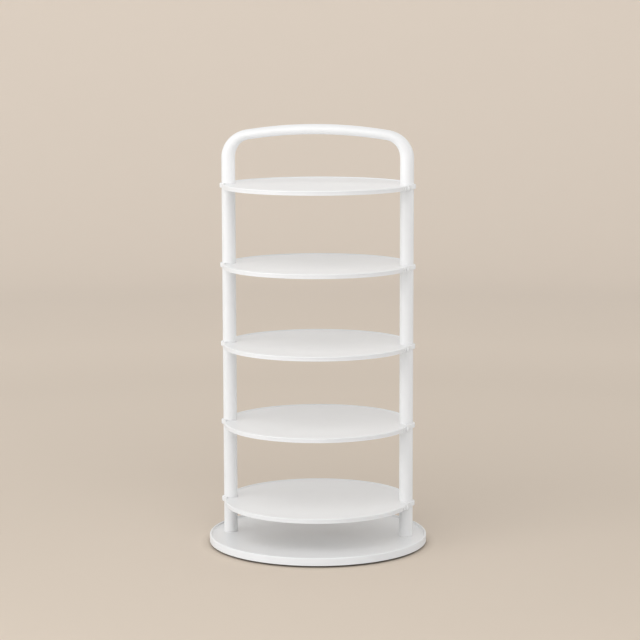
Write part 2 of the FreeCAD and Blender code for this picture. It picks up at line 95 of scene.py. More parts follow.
def roundedLine(corners, steps, closed=False, support=0.25 * millimetre):
    # A line through (across, up, rounding) corners. Each corner is an arc of its rounding that
    # touches both its sides, with one more point before and after it, so that flats stay flat.
    # That point stands off by the support, or by 0.3 of what the arcs leave of a short side.
    # A corner on a straight run is a row of points that reaches its rounding each way.
    count = len(corners)
    points = np.array([corner[:2] for corner in corners], float)
    roundings = np.array([corner[2] for corner in corners], float)
    toBack, toNext = np.roll(points, 1, axis=0) - points, np.roll(points, -1, axis=0) - points
    length = np.linalg.norm(toNext, axis=1)
    toBack, toNext = (way / np.linalg.norm(way, axis=1)[:, None] for way in (toBack, toNext))
    straight = np.linalg.norm(toBack + toNext, axis=1) < 1e-6
    halves = np.arccos(np.clip((toBack * toNext).sum(1), -1, 1)) / 2
    reaches = np.where(straight, roundings, roundings / np.tan(halves))
    free = length - reaches - np.roll(reaches, -1)
    supports = np.minimum(support, 0.3 * free)
    line = [] if closed else [points[:1]]
    inner = range(count) if closed else range(1, count - 1)
    for index in inner:
        here, back, on = points[index], toBack[index], toNext[index]
        rounding, half, reach = roundings[index], halves[index], reaches[index]
        if straight[index]:
            arc = here + np.outer(np.linspace(-reach, reach, steps + 1), on)
        else:
            centre = here + (back + on) / np.linalg.norm(back + on) * rounding / math.sin(half)
            first = here + back * reach - centre
            last = here + on * reach - centre
            start = math.atan2(first[1], first[0])
            sweep = math.atan2(first[0] * last[1] - first[1] * last[0], first @ last)
            angles = start + sweep * np.linspace(0, 1, steps + 1)
            arc = centre + rounding * np.column_stack([np.cos(angles), np.sin(angles)])
        before = here + back * (reach + supports[index - 1])
        after = here + on * (reach + supports[index])
        line += [before[None], arc, after[None]]
    if not closed:
        line.append(points[-1:])
    return np.vstack(line)


def gridFaces(rows, columns, roundColumns, roundRows=False):
    # Faces of a grid of points, row by row, closed on itself along either way or along both.
    row = np.arange(rows if roundRows else rows - 1)
    column = np.arange(columns if roundColumns else columns - 1)
    i, j = np.meshgrid(row, column, indexing="ij")
    nextI, nextJ = (i + 1) % rows, (j + 1) % columns
    corners = [i * columns + j, nextI * columns + j, nextI * columns + nextJ, i * columns + nextJ]
    return np.stack(corners, axis=-1).reshape(-1, 4)


samePlace = 0.001 * millimetre      # points of a piece that are closer than this are merged


def addPiece(name, shells, material):
    # One object from closed shells, each (grid of points, columns closed, rows closed). Points
    # that meet at poles and seams are merged, and faces are turned outwards by the volume's sign.
    points, faces, start = [], [], 0
    for grid, roundColumns, roundRows in shells:
        rows, columns = grid.shape[:2]
        made = gridFaces(rows, columns, roundColumns, roundRows)
        flat = grid.reshape(-1, 3)
        a, b, c, d = (flat[made[:, k]] for k in range(4))
        volume = np.einsum("ij,ij->i", a, np.cross(b, c) + np.cross(c, d)).sum()
        faces.append((made if volume > 0 else made[:, ::-1]) + start)
        points.append(flat)
        start += len(flat)
    mesh = bpy.data.meshes.new(name)
    mesh.from_pydata(np.vstack(points).tolist(), [], np.vstack(faces).tolist())
    solid = bmesh.new()
    solid.from_mesh(mesh)
    bmesh.ops.remove_doubles(solid, verts=solid.verts, dist=samePlace)
    bmesh.ops.dissolve_degenerate(solid, edges=solid.edges, dist=samePlace / 10)
    solid.to_mesh(mesh)
    solid.free()
    mesh.shade_smooth()
    mesh.materials.append(material)
    piece = bpy.data.objects.new(name, mesh)
    bpy.context.scene.collection.objects.link(piece)
    return piece


finishes = {}       # a material for each material slot of the record


def towerPiece(name, shells, slot, *nodes):
    # A piece that turns with the tower and stands in for CAD nodes.
    piece = addPiece(name, shells, finishes[slot])
    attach(piece, "tower")
    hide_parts(*nodes)


def turnedGrid(line, angles):
    # A profile of (radius, height) points turned about the Z axis.
    radius, height = line[:, 0, None], line[:, 1, None]
    level = height + 0 * angles
    return np.stack([radius * np.cos(angles), radius * np.sin(angles), level], axis=-1)


def fullTurn(count):
    # Even angles of one turn, without the last, which is the first again.
    return np.arange(count) * (2 * math.pi / count)


def endDistances(rounding, count):
    # Distances from an end that share its quarter round equally: rounding * (1 - cosine).
    return rounding * (1 - np.cos(np.linspace(0, math.pi / 2, count)))


def drawnIn(toEnd, rounding):
    # How far a section draws in near an end, so that the end has quarter-round edges.
    short = np.clip(rounding - toEnd, 0, rounding)
    return rounding - np.sqrt(rounding ** 2 - short ** 2)


def newMaterial(name):
    # A material with one shader and nothing else.
    material = bpy.data.materials.new(name)
    material.use_nodes = True
    nodes = material.node_tree.nodes
    nodes.clear()
    output = nodes.new("ShaderNodeOutputMaterial")
    shader = nodes.new("ShaderNodeBsdfPrincipled")
    material.node_tree.links.new(shader.outputs[0], output.inputs[0])
    return material


def shaderOf(material):
    return material.node_tree.nodes["Principled BSDF"]


def setSocket(owner, socket, value):
    # The value is a number, a colour or the output of another node of the same material or world.
    if isinstance(value, bpy.types.NodeSocket):
        owner.node_tree.links.new(value, socket)
    else:
        socket.default_value = value


def addNode(owner, kind, settings=(), **inputs):
    # The settings are the node's own properties. The inputs are its sockets, with _ for a space.
    node = owner.node_tree.nodes.new(kind)
    for name, value in dict(settings).items():
        setattr(node, name, value)
    for name, value in inputs.items():
        setSocket(owner, node.inputs[name.replace("_", " ")], value)
    return node


def mathNode(material, kind, operation, *values):
    # Inputs of a math node can share a name, so they are filled by their order.
    node = addNode(material, kind, {"operation": operation})
    for socket, value in zip(node.inputs, values):
        setSocket(material, socket, value)
    return node


def noise(material, where, scale, octaves):
    return addNode(material, "ShaderNodeTexNoise", Vector=where, Scale=scale, Detail=octaves).outputs["Fac"]


noiseSpan = (0.35, 0.65)     # most of a noise lies between these


def blendBetween(material, amount, low, high):
    # A blend of two values or of two colours by a noise.
    if isinstance(low, (int, float)):
        node = addNode(material, "ShaderNodeMapRange", {"clamp": True}, Value=amount,
                       From_Min=noiseSpan[0], From_Max=noiseSpan[1], To_Min=low, To_Max=high)
        return node.outputs["Result"]
    ramp = addNode(material, "ShaderNodeValToRGB", Fac=amount)
    for stop, position, colour in zip(ramp.color_ramp.elements, noiseSpan, (low, high)):
        stop.position = position
        stop.color = (*colour, 1)
    return ramp.outputs["Color"]


def objectPlace(material):
    return addNode(material, "ShaderNodeTexCoord").outputs["Object"]


def distanceToAxis(material):
    # The length of (x, y) in metres.
    level = mathNode(material, "ShaderNodeVectorMath", "MULTIPLY", objectPlace(material), (1, 1, 0))
    return mathNode(material, "ShaderNodeVectorMath", "LENGTH", level.outputs["Vector"]).outputs["Value"]


def roughen(material, heights, depth):
    # A bump over what the shader has already.
    relief = addNode(material, "ShaderNodeBump", Height=heights, Strength=1.0, Distance=depth)
    normal = shaderOf(material).inputs["Normal"]
    if normal.is_linked:
        setSocket(material, relief.inputs["Normal"], normal.links[0].from_socket)
    setSocket(material, normal, relief.outputs["Normal"])


def finish(name, look):
    # Patches of two shades, patches of two sheens and a relief, each from a noise on the Object
    # coordinates, with the look's scales in patches per metre.
    material = newMaterial(name)
    shader, where = shaderOf(material), objectPlace(material)
    scales = look["shadeScale"], look["sheenScale"], look["reliefScale"]
    shade, sheen, relief = (noise(material, where, *pair) for pair in zip(scales, look["octaves"]))
    colour = blendBetween(material, shade, look["dark"], look["light"])
    roughness = blendBetween(material, sheen, look["glossy"], look["matt"])
    setSocket(material, shader.inputs["Base Color"], colour)
    setSocket(material, shader.inputs["Roughness"], roughness)
    shader.inputs["Metallic"].default_value = look["metallic"]
    roughen(material, relief, look["reliefDepth"])
    return material


# Satin white powder coat: cured powder has a fine peel, and its sheen varies a little.
coat = {
    "light": (0.951, 0.952, 0.953),
    "dark": (0.93, 0.93, 0.93),
    "glossy": 0.29,                     # roughness where the sheen is high
    "matt": 0.37,                       # and where it is low
    "metallic": 0,
    "ior": 1.48,
    "shadeScale": 14,
    "sheenScale": 60,
    "reliefScale": 620,                 # the peel is about 1.6 mm wide
    "reliefDepth": 0.06 * millimetre,
    "octaves": (4, 3, 1),               # of shade, sheen and relief
    "grainScale": 2600,
    "grainDepth": 0.01 * millimetre,
    "grainOctaves": 2,
}


def powderCoat():
    # A finer grain lies over the peel.
    material = finish("whitePowderCoat", coat)
    grain = noise(material, objectPlace(material), coat["grainScale"], coat["grainOctaves"])
    roughen(material, grain, coat["grainDepth"])
    shaderOf(material).inputs["IOR"].default_value = coat["ior"]
    return material


finishes["white_powder_coat"] = powderCoat()
print("powder coat mixed")


# The base pan is one pressed disc with a raised rim and a skirt that hides the bearing.
pan = {
    "sheet": 2.0 * millimetre,
    "floorDrop": 3.5 * millimetre,      # top of the rim to the floor of the pan
    "rimWidth": 4.0 * millimetre,
    "outerRound": 2.3 * millimetre,
    "innerRound": 1.4 * millimetre,
    "bendRound": 1.5 * millimetre,
    "edgeRound": 0.8 * millimetre,
    "arcSteps": 8,
    "around": 288,
}


def buildPan():
    # The section of the pan, from its middle over the rim and back under the sheet, turned about
    # the axis.
    low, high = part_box("base_pan")
    radius, top, bottom = high.x, high.z, low.z
    floor = top - pan["floorDrop"]
    under = floor - pan["sheet"]
    skirtInside = radius - pan["sheet"]
    rimInside = radius - pan["rimWidth"]
    line = roundedLine([
        (0, floor, 0),
        (rimInside, floor, pan["bendRound"]),
        (rimInside, top, pan["innerRound"]),
        (radius, top, pan["outerRound"]),
        (radius, bottom, pan["edgeRound"]),
        (skirtInside, bottom, pan["edgeRound"]),
        (skirtInside, under, pan["bendRound"]),
        (0, under, 0),
    ], pan["arcSteps"])
    grid = turnedGrid(line, fullTurn(pan["around"]))
    towerPiece("basePan", [(grid, True, False)], "white_powder_coat", "base_pan")


buildPan()
print("base pan built")


# The frame is a round tube for each post, bent in at the top and pressed to an oval in the bar.
tube = {
    "barHeight": 18.4 * millimetre,
    "cornerRadius": 42.0 * millimetre,
    "crownRadius": 800.0 * millimetre,
    "endRound": 0.5 * millimetre,
    "endZone": 2.0 * millimetre,        # of a post's foot, with its own rows of points
    "endSteps": 6,
    "around": 80,
    "legSteps": 24,
    "cornerSteps": 40,
    "barSteps": 36,
}


def tubeCentreline():
    # Centres, outward directions and half sizes of the sections of the right half, from the foot
    # up: a straight leg, an arc of the corner radius, then half of an arc of the crown radius.
    postLow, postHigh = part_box("post_right")
    postX = (postLow.x + postHigh.x) / 2
    radius = (postHigh.x - postLow.x) / 2
    foot = postLow.z
    halfHeight = tube["barHeight"] / 2
    halfDepth = math.sqrt(2 * radius ** 2 - halfHeight ** 2)
    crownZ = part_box("top_bow")[1].z - halfHeight - tube["crownRadius"]
    bendX = postX - tube["cornerRadius"]
    rest = tube["crownRadius"] - tube["cornerRadius"]
    tilt = math.asin(bendX / rest)
    bendZ = crownZ + rest * math.cos(tilt)
    edge = endDistances(tube["endRound"], tube["endSteps"])
    leg = np.linspace(foot + tube["endZone"], bendZ, tube["legSteps"])
    legZ = np.concatenate([[foot, foot], foot + edge, leg])
    inset = np.concatenate([[radius, 2 * tube["endRound"]], drawnIn(edge, tube["endRound"]), 0 * leg])
    turn = np.linspace(0, math.pi / 2 - tilt, tube["cornerSteps"] + 1)[1:]
    share = turn / (math.pi / 2 - tilt)
    ease = share ** 2 * (3 - 2 * share)
    swing = np.linspace(tilt, 0, tube["barSteps"] + 1)[1:]
    none, one = np.zeros_like, np.ones_like
    x = np.concatenate([postX * one(legZ), bendX + tube["cornerRadius"] * np.cos(turn),
                        tube["crownRadius"] * np.sin(swing)])
    z = np.concatenate([legZ, bendZ + tube["cornerRadius"] * np.sin(turn),
                        crownZ + tube["crownRadius"] * np.cos(swing)])
    outX = np.concatenate([one(legZ), np.cos(turn), np.sin(swing)])
    outZ = np.concatenate([none(legZ), np.sin(turn), np.cos(swing)])
    tall = np.concatenate([radius - inset, radius + (halfHeight - radius) * ease, halfHeight * one(swing)])
    deep = np.concatenate([radius - inset, radius + (halfDepth - radius) * ease, halfDepth * one(swing)])
    return np.stack([x, z, outX, outZ, tall, deep])


def buildFrame():
    # Oval sections carried along the centreline, which is mirrored for the left half.
    right = tubeCentreline()
    left = right[:, -2::-1] * np.array([-1, 1, -1, 1, 1, 1])[:, None]
    x, z, outX, outZ, tall, deep = (part[:, None] for part in np.concatenate([right, left], axis=1))
    around = fullTurn(tube["around"])
    grid = np.stack([x + outX * tall * np.cos(around), deep * np.sin(around) + 0 * x,
                     z + outZ * tall * np.cos(around)], axis=-1)
    towerPiece("tubeFrame", [(grid, True, False)], "white_powder_coat",
               "post_right", "post_left", "top_bow")


buildFrame()
print("tube frame built")


# Each tray is one pressed sheet: a flat floor, a low lip all round, and a skirt under a rolled
# bead. At each post the rim is set in under the clamp band, and a notch with a turned-down edge
# takes the post.
tray = {
    "count": 5,
    "radius": 172.0 * millimetre,
    "sheet": 1.0 * millimetre,
    "height": 8.5 * millimetre,
    "lipHeight": 1.4 * millimetre,
    "lipWidth": 4.0 * millimetre,
    "outerRound": 1.5 * millimetre,
    "innerRound": 1.5 * millimetre,
    "floorRound": 0.8 * millimetre,
    "edgeRound": 0.4 * millimetre,
    "beadHeight": 2.9 * millimetre,     # rolled bead along the top of the skirt
    "beadRound": 0.4 * millimetre,
    "beadStep": 0.7 * millimetre,       # the skirt stands back under the bead
    "beadCorner": 0.1 * millimetre,
    "skirtSlope": 0.6 * millimetre,     # and leans in towards its lower edge
    "recessAngle": 17.7,                # degrees each side of the post
    "recessDepth": 3.55 * millimetre,
    "notchRadius": 12.65 * millimetre,
    "flangeDepth": 5.0 * millimetre,
    "endRound": 1.1 * millimetre,       # rounding where the rim meets the band
    "endSteps": 7,
    "webAngle": 3.0,                    # degrees over which the underside turns to a web
    "hair": 0.1 * millimetre,           # between the two columns that hold an edge sharp
    "run": 0.3 * millimetre,            # half length of a row of points on a straight run
    "beforeBend": 0.6 * millimetre,     # the recess's rows here match the lip's bend
    "afterBend": 0.4 * millimetre,
    "floorMargin": 1.6 * millimetre,    # of the flat floor, before the lip
    "floorRings": 7,
    "ringCrowding": 1.6,                # above 1, the rings crowd towards the lip
    "arcSteps": 7,
    "notchSteps": 28,
    "recessSteps": 16,
    "rimSteps": 132,
}


def trayProfiles():
    # Matching (radius, height) lines of the full rim and of the recessed one, from the edge of
    # the flat floor, over the outside and back under the sheet. Height 0 is the top of the rim.
    sheet, edge, run = tray["sheet"], tray["edgeRound"], tray["run"]
    lip = tray["radius"] - tray["lipWidth"]
    floor = -tray["lipHeight"]
    bend = lip - tray["lipHeight"]
    shift = sheet * math.tan(math.pi / 8)
    near = bend - tray["floorMargin"]
    skirtTop = tray["radius"] - tray["beadStep"]
    skirtEnd = skirtTop - tray["skirtSlope"]
    full = roundedLine([
        (near, floor, 0),
        (bend, floor, tray["floorRound"]),
        (lip, 0, tray["innerRound"]),
        (tray["radius"], 0, tray["outerRound"]),
        (tray["radius"], -tray["beadHeight"], tray["beadRound"]),
        (skirtTop, -tray["beadHeight"], tray["beadCorner"]),
        (skirtEnd, -tray["height"], edge),
        (skirtEnd - sheet, -tray["height"], edge),
        (skirtTop - sheet, -sheet, tray["outerRound"] - sheet),
        (lip + shift, -sheet, tray["innerRound"] - sheet),
        (bend + shift, floor - sheet, tray["floorRound"] + sheet),
        (near, floor - sheet, 0),
    ], tray["arcSteps"])
    recess = tray["radius"] - tray["recessDepth"]
    inside = recess - sheet
    first, second = bend - tray["beforeBend"], bend + tray["afterBend"]
    setIn = roundedLine([
        (near, floor, 0),
        (first, floor, run),
        (second, floor, run),
        (recess, floor, edge),
        (recess, -tray["beadHeight"], run),
        (recess, -tray["beadHeight"] - 3 * run, run),
        (recess, -tray["height"], edge),
        (inside, -tray["height"], edge),
        (inside, floor - sheet, edge / 2),
        (second - run, floor - sheet, run),
        (first - run, floor - sheet, run),
        (near, floor - sheet, 0),
    ], tray["arcSteps"])
    return full, setIn


def notchColumns():
    # Edge of the notch in the right half of the tray, by the direction from the post's axis: its
    # angle and radius, and the radius of the inner side of its turned-down edge.
    postLow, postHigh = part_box("post_right")
    postX = (postLow.x + postHigh.x) / 2
    size = tray["notchRadius"]
    tangent = math.asin(size / postX)
    turn = np.linspace(math.pi, math.pi / 2 + tangent, tray["notchSteps"] // 2 + 1)
    x, y = postX + size * np.cos(turn), size * np.sin(turn)
    angle, radius = np.arctan2(y, x), np.hypot(x, y)
    wider = size + tray["sheet"]
    inside = postX * np.cos(angle) - np.sqrt(wider ** 2 - (postX * np.sin(angle)) ** 2)
    return angle, radius, inside


def columnAngles(edgeAngle, rimAngle, recess):
    # Directions of the columns from the notch's edge over the recess, and from the rim's rounded
    # end to the middle of the tray's side. Two columns a hair apart hold each edge of the recess.
    hair = tray["hair"] / recess
    across = np.linspace(edgeAngle, rimAngle, tray["recessSteps"])[1:-1]
    recessAngle = np.concatenate([[edgeAngle, edgeAngle + hair], across, [rimAngle - hair, rimAngle]])
    rounded = rimAngle + endDistances(tray["endRound"], tray["endSteps"]) / tray["radius"]
    rim = np.linspace(rounded[-1] + 2 * hair, math.pi / 2, tray["rimSteps"] // 2)
    return recessAngle, np.concatenate([rounded, rim])


def roundedRim(full, corner, toEnd):
    # The full profile, drawn in along its own outward direction near the rim's rounded ends.
    # Corners 2 to 6 are its outside, from the lip to the skirt's edge, and 4 and 5 the bead's
    # underside, which is drawn in on the level.
    along = np.gradient(full, axis=0)
    along /= np.linalg.norm(along, axis=1)[:, None]
    onRim = (corner >= 2) & (corner <= 6)
    outR = np.maximum(-along[:, 1], 0) * onRim
    outR[(corner == 4) | (corner == 5)] = 1
    outZ = np.maximum(along[:, 0], 0) * onRim
    inset = drawnIn(toEnd, tray["endRound"])
    return full[:, 0, None] - outR[:, None] * inset, full[:, 1, None] - outZ[:, None] * inset


def notchWall(setIn, recess, notchRadius, notchInside):
    # The recessed profile carried onto the notch: its depth inside the recess becomes depth
    # inside the notch's edge, and its skirt is shortened to the notch's turned-down edge.
    sheet = tray["sheet"]
    depth = recess - setIn[:, 0, None]
    wall = (notchRadius - notchInside) / sheet
    radius = notchRadius - np.minimum(depth, sheet) * wall - np.maximum(depth - sheet, 0)
    under = -tray["lipHeight"] - sheet - tray["run"]
    height = np.interp(setIn[:, 1], [-tray["height"], under, 0], [-tray["flangeDepth"], under, 0])
    return radius, height[:, None] * np.ones_like(notchRadius)


def trayGrid():
    # A closed sheet over angle round the axis and length along the profile. Columns that share
    # an angle carry different profiles, and the faces between them are the webs and notch sides.
    full, setIn = trayProfiles()
    perCorner = tray["arcSteps"] + 3        # points of a rounded corner, with its two supports
    rows = np.arange(len(full))
    corner = (rows - 1) // perCorner + 1
    recess = tray["radius"] - tray["recessDepth"]
    notchAngle, notchRadius, notchInside = notchColumns()
    edgeAngle, rimAngle = notchAngle[-1], math.radians(tray["recessAngle"])
    recessAngle, rimAll = columnAngles(edgeAngle, rimAngle, recess)
    rimR, rimZ = roundedRim(full, corner, (rimAll - rimAngle) * tray["radius"])
    notchR, notchZ = notchWall(setIn, recess, notchRadius, notchInside)
    one = np.ones_like(recessAngle)
    radius = np.hstack([notchR, setIn[:, 0, None] * one, rimR])
    height = np.hstack([notchZ, setIn[:, 1, None] * one, rimZ])
    angle = np.concatenate([notchAngle, recessAngle, rimAll])

    # under the sheet, the webs stand one thickness further on
    isInner = np.clip((rows - 6 * perCorner) / 3, 0, 1)
    reach = math.radians(tray["webAngle"])
    shift = sum(np.maximum(0, 1 - np.abs(angle - step) / reach) for step in (edgeAngle, rimAngle))
    angle = angle + isInner[:, None] * shift * tray["sheet"] / recess

    # rings close the floor from both edges of the profile to the axis
    share = (1 - np.linspace(0, 1, tray["floorRings"]) ** tray["ringCrowding"])[::-1, None][:-1]
    radius = np.vstack([share * radius[:1], radius, share[::-1] * radius[-1:]])
    height = np.vstack([0 * share + height[:1], height, 0 * share + height[-1:]])
    angle = np.vstack([0 * share + angle[:1], angle, 0 * share + angle[-1:]])

    # a quarter of the tray is mirrored, and the half is turned to make the whole
    mirrored = [np.hstack([part[:, :0:-1] * sign, part[:, :-1]]) for part, sign in
                ((radius, 1), (height, 1), (angle, -1))]
    radius, height = (np.hstack([part, part]) for part in mirrored[:2])
    angle = np.hstack([mirrored[2], mirrored[2] + math.pi])
    return np.stack([radius * np.cos(angle), radius * np.sin(angle), height], axis=-1)


def atHeight(grid, z):
    return grid + np.array([0, 0, z])


def trayTops():
    # Heights of the rims, from the lowest tray up.
    return [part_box(f"tray_{number}")[1].z for number in range(1, tray["count"] + 1)]


def buildTrays():
    grid = trayGrid()
    for number, top in enumerate(trayTops(), start=1):
        placed = [(atHeight(grid, top), True, False)]
        towerPiece(f"tray{number}", placed, "white_powder_coat", f"tray_{number}")


buildTrays()
print("trays built")


# A clamp band closes the rim at each post. It follows the rim and bulges round the post, and a
# screw draws it shut at one end. The tongue at its other end hangs behind the tray's skirt.
band = {
    "thickness": 3.4 * millimetre,
    "postClearance": 0.2 * millimetre,
    "blendRadius": 18.0 * millimetre,
    "slit": 1.6 * millimetre,
    "buttGap": 0.2 * millimetre,
    "outerRound": 1.5 * millimetre,
    "innerRound": 0.25 * millimetre,
    "endRound": 0.6 * millimetre,
    "endSteps": 6,
    "arcSteps": 6,
    "rimSteps": 26,
    "blendSteps": 14,
    "noseSteps": 44,
    "hookAngle": 14.5,                  # degrees from the post
    "hookWidth": 6.0 * millimetre,
    "hookLevel": 3.5 * millimetre,
    "hookStem": 2.0 * millimetre,
    "hookLeg": 1.2 * millimetre,
    "hookDrop": 2.2 * millimetre,
    "hookGap": 0.25 * millimetre,
    "hookRound": 0.3 * millimetre,
    "hookSteps": 4,
}
sides = {"right": 0, "left": 180}       # degrees round the axis


def arcPoints(centreX, centreY, radius, angles):
    # (x, y) of a circle about the centre.
    return np.column_stack([centreX + radius * np.cos(angles), centreY + radius * np.sin(angles)])


def bandPlan():
    # Matching points of the band's outer and inner outlines in plan, with the post at +X: the
    # rim's circle, a hollow arc tangent to it and to the nose, and the nose round the post.
    postLow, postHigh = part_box("post_right")
    postX, postRadius = (postLow.x + postHigh.x) / 2, (postHigh.x - postLow.x) / 2
    rim, thickness, blend = tray["radius"], band["thickness"], band["blendRadius"]
    inside, bore = rim - thickness, postRadius + band["postClearance"]
    nose = bore + thickness
    blendX = ((rim + blend) ** 2 - (nose + blend) ** 2 + postX ** 2) / (2 * postX)
    blendY = math.sqrt((rim + blend) ** 2 - blendX ** 2)
    rimTurn, noseTurn = math.atan2(blendY, blendX), math.atan2(blendY, blendX - postX)
    innerX = (inside ** 2 - bore ** 2 + postX ** 2) / (2 * postX)
    innerY = math.sqrt(inside ** 2 - innerX ** 2)
    innerTurn, seatTurn = math.atan2(innerY, innerX), math.atan2(innerY, innerX - postX)
    low = -math.radians(tray["recessAngle"]) + band["slit"] / rim
    high = math.radians(tray["recessAngle"]) - band["buttGap"] / rim
    ending = endDistances(band["endRound"], band["endSteps"]) / rim
    steps = np.linspace(0, 1, band["rimSteps"])
    first = np.concatenate([low + ending, low + ending[-1] + (-rimTurn - low - ending[-1]) * steps[1:]])
    last = np.concatenate([rimTurn + (high - ending[-1] - rimTurn) * steps[:-1], high - ending[::-1]])
    share = np.linspace(0, 1, band["blendSteps"] + 1)[1:]
    noseShare = np.linspace(-1, 1, band["noseSteps"] + 1)[1:]
    hollow = math.pi + rimTurn + (noseTurn - rimTurn) * share
    outer = np.vstack([
        arcPoints(0, 0, rim, first),
        arcPoints(blendX, -blendY, blend, -hollow),
        arcPoints(postX, 0, nose, noseTurn * noseShare),
        arcPoints(blendX, blendY, blend, math.pi + noseTurn + (rimTurn - noseTurn) * share),
        arcPoints(0, 0, rim, last[1:]),
    ])
    toCorner = rimTurn + (innerTurn - rimTurn) * share
    inner = np.vstack([
        arcPoints(0, 0, inside, first),
        arcPoints(0, 0, inside, -toCorner),
        arcPoints(postX, 0, bore, seatTurn * noseShare),
        arcPoints(0, 0, inside, innerTurn + (rimTurn - innerTurn) * share),
        arcPoints(0, 0, inside, last[1:]),
    ])
    fromLow = (first - low) * rim
    fromHigh = (high - last[1:]) * rim
    middle = np.full(len(outer) - len(fromLow) - len(fromHigh), np.inf)
    return outer, inner, np.concatenate([fromLow, middle, fromHigh])


def withEndPoles(grid):
    # The middle of the first and of the last section closes each end.
    return np.concatenate([0 * grid[:1] + grid[:1].mean(1, keepdims=True), grid,
                           0 * grid[-1:] + grid[-1:].mean(1, keepdims=True)])


def bandShell():
    # A rounded section, depth from the outer face by height, carried along the band's plan.
    outer, inner, toEnd = bandPlan()
    thickness, height = band["thickness"], tray["height"]
    section = roundedLine([
        (0, -height, band["outerRound"]),
        (0, 0, band["outerRound"]),
        (thickness, 0, band["innerRound"]),
        (thickness, -height, band["innerRound"]),
    ], band["arcSteps"], closed=True)
    across = inner - outer
    wide = np.linalg.norm(across, axis=1)[:, None]
    depth = np.where(section[:, 0] < thickness / 2, section[:, 0], wide - thickness + section[:, 0])
    drawn = drawnIn(toEnd, band["endRound"])[:, None]
    depth = wide / 2 + (depth - wide / 2) * (1 - 2 * drawn / wide)
    level = -height / 2 + (section[:, 1] + height / 2) * (1 - 2 * drawn / height)
    plan = outer[:, None, :] + across[:, None, :] * (depth / wide)[:, :, None]
    return withEndPoles(np.concatenate([plan, level[:, :, None]], axis=2))


def hookShell():
    # An L-shaped outline in radius and height, carried across the tongue's width.
    skirt = tray["radius"] - tray["recessDepth"] - tray["sheet"]
    legOut = skirt - band["hookGap"]
    legIn = legOut - band["hookLeg"]
    root = tray["radius"] - band["thickness"] / 2
    high = -band["hookLevel"]
    low = high - band["hookStem"]
    toe = low - band["hookDrop"]
    small = band["hookRound"]
    outline = roundedLine([
        (legIn, high, 2 * small),
        (root, high, small),
        (root, low, small),
        (legOut, low, small),
        (legOut, toe, small),
        (legIn, toe, small),
    ], band["hookSteps"], closed=True)
    half = band["hookWidth"] / 2
    fromEnd = endDistances(small, band["hookSteps"] + 1)
    across = np.concatenate([-half + fromEnd, half - fromEnd[::-1]])
    drawn = drawnIn(half - np.abs(across), small)[:, None]
    centre = outline.mean(0)
    x = outline[:, 0] + drawn * np.sign(centre[0] - outline[:, 0])
    z = outline[:, 1] + drawn * np.sign(centre[1] - outline[:, 1])
    y = across[:, None] + 0 * x
    return aboutAxis(withEndPoles(np.stack([x, y, z], axis=-1)), band["hookAngle"])


def aboutAxis(grid, degrees):
    # Points turned about the Z axis.
    turn = math.radians(degrees)
    cosine, sine = math.cos(turn), math.sin(turn)
    return grid @ np.array([[cosine, sine, 0], [-sine, cosine, 0], [0, 0, 1]])


def buildBands():
    shells = [bandShell(), hookShell()]
    for number, top in enumerate(trayTops(), start=1):
        for side, turn in sides.items():
            placed = [(atHeight(aboutAxis(shell, turn), top), True, False) for shell in shells]
            towerPiece(f"clampBand{number}_{side}", placed, "white_powder_coat",
                       f"band_{number}_{side}")


buildBands()
print("clamp bands built")


# Moulded white plastic, a little glossier than the coated metal, with a fine moulded grain.
moulding = {
    "light": (0.94, 0.94, 0.938),
    "dark": (0.915, 0.914, 0.91),
    "glossy": 0.24,
    "matt": 0.34,
    "metallic": 0,
    "shadeScale": 90,
    "sheenScale": 240,
    "reliefScale": 1100,
    "reliefDepth": 0.012 * millimetre,
    "octaves": (3, 3, 2),
}

finishes["white_moulding"] = finish("whiteMoulding", moulding)
print("white moulding mixed")


# The clamp screw's head is a low dome with a hexagon socket.
knob = {
    "angle": -13.0,                     # degrees from the post
    "level": 5.4 * millimetre,          # below the top of the rim
    "radius": 5.2 * millimetre,
    "edgeHeight": 2.0 * millimetre,
    "domeHeight": 2.7 * millimetre,
    "edgeRound": 0.5 * millimetre,
    "neckRadius": 3.6 * millimetre,     # the head stands on a narrower neck
    "neckHeight": 0.9 * millimetre,
    "underRound": 0.15 * millimetre,
    "neckRound": 0.1 * millimetre,
    "sunk": 0.3 * millimetre,           # how far the neck goes into the band
    "socketFlats": 2.5 * millimetre,
    "socketDepth": 1.8 * millimetre,
    "socketEdge": 0.12 * millimetre,
    "roundFrom": 0.46,                  # share of the radius where the rings are circles
    "domeEnd": 0.86,                    # share where the dome's even rings end
    "rimStart": 0.88,                   # and where the rim's profile starts
    "arcSteps": 6,
    "spreadSteps": 6,
    "domeSteps": 8,
    "around": 48,
}


